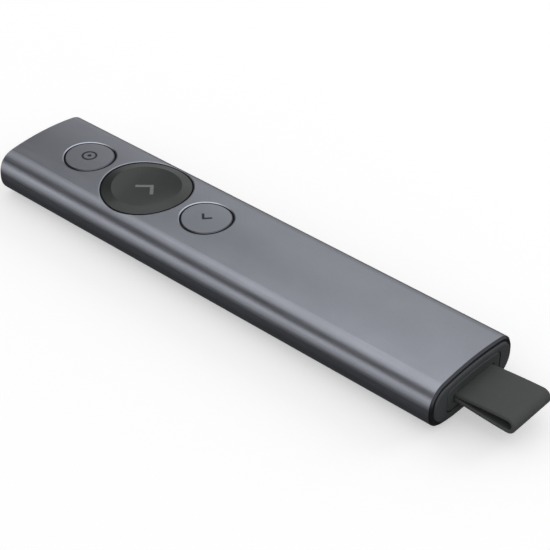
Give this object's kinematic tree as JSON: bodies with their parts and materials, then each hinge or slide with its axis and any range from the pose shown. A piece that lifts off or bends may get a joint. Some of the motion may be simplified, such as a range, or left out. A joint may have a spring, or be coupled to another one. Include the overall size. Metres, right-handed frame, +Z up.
{
  "type": "presentation remote",
  "caption": "Slim presentation remote: aluminium sleeve with round buttons on its crown and a USB radio receiver with a rubber pull strap that parks in its tail.",
  "frame": {"origin": "centre of the flat strip that the remote rests on, halfway along the sleeve", "axes": "+X to the right, +Y along the remote to its nose, away from the strap, +Z up through the buttons"},
  "size_m": [0.028, 0.1473, 0.0123],
  "materials": {
    "anodised_grey": "satin anodised, slate grey",
    "dark_cap": "fine matte, near black with a green cast",
    "dark_plastic": "matte, dark grey",
    "receiver_plastic": "satin, dark grey",
    "inner_plastic": "matte, black",
    "spring_steel": "bright strip",
    "board_green": "solder mask",
    "chip_black": "moulded, matte",
    "ceramic_white": "glazed",
    "battery_wrap": "foil, grey",
    "foam_pad": "adhesive foam",
    "plated_steel": "plated, satin",
    "tongue_plastic": "moulded, white",
    "contact_gold": "gold plated",
    "switch_black": "moulded, matte",
    "stem_white": "moulded, matte",
    "screw_steel": "turned",
    "strap_rubber": "matte moulded rubber, charcoal"
  },
  "bodies": {
    "housing": {"housing_sleeve": "anodised_grey", "nose_cap": "dark_plastic", "tail_plate": "dark_plastic", "receiver_bay": "inner_plastic", "bay_springs": "spring_steel", "chassis_tray": "inner_plastic", "button_carrier": "inner_plastic", "circuit_board": "board_green", "processor_chip": "chip_black", "motion_sensor": "chip_black", "antenna_chip": "ceramic_white", "battery_cell": "battery_wrap", "battery_pad": "foam_pad", "vibration_motor": "plated_steel", "charging_port": "plated_steel", "charging_port_tongue": "inner_plastic", "pointer_switch": "switch_black", "next_switch": "switch_black", "back_switch": "switch_black", "board_screws": "screw_steel", "carrier_screws": "screw_steel"},
    "pointer_button": {"pointer_cap": "anodised_grey", "pointer_switch_stem": "stem_white"},
    "next_button": {"next_cap": "dark_cap", "next_switch_stem": "stem_white"},
    "back_button": {"back_cap": "anodised_grey", "back_switch_stem": "stem_white"},
    "receiver": {"receiver_housing": "receiver_plastic", "receiver_collar": "receiver_plastic", "receiver_board": "board_green", "receiver_chip": "chip_black", "usb_plug_shell": "plated_steel", "usb_plug_tongue": "tongue_plastic", "usb_plug_contacts": "contact_gold", "pull_strap": "strap_rubber", "strap_pin": "screw_steel"}
  },
  "joints": [
    {"name": "pointer_press", "type": "slide", "parent": "housing", "child": "pointer_button", "axis": [0, 0, -1], "range_m": [0, 0.0003], "stiffness_N_per_m": 4000},
    {"name": "next_press", "type": "slide", "parent": "housing", "child": "next_button", "axis": [0, 0, -1], "range_m": [0, 0.0003], "stiffness_N_per_m": 4000},
    {"name": "back_press", "type": "slide", "parent": "housing", "child": "back_button", "axis": [0, 0, -1], "range_m": [0, 0.0003], "stiffness_N_per_m": 4000},
    {"name": "receiver_pull", "type": "slide", "parent": "housing", "child": "receiver", "axis": [0, -1, 0], "range_m": [0, 0.04]}
  ]
}
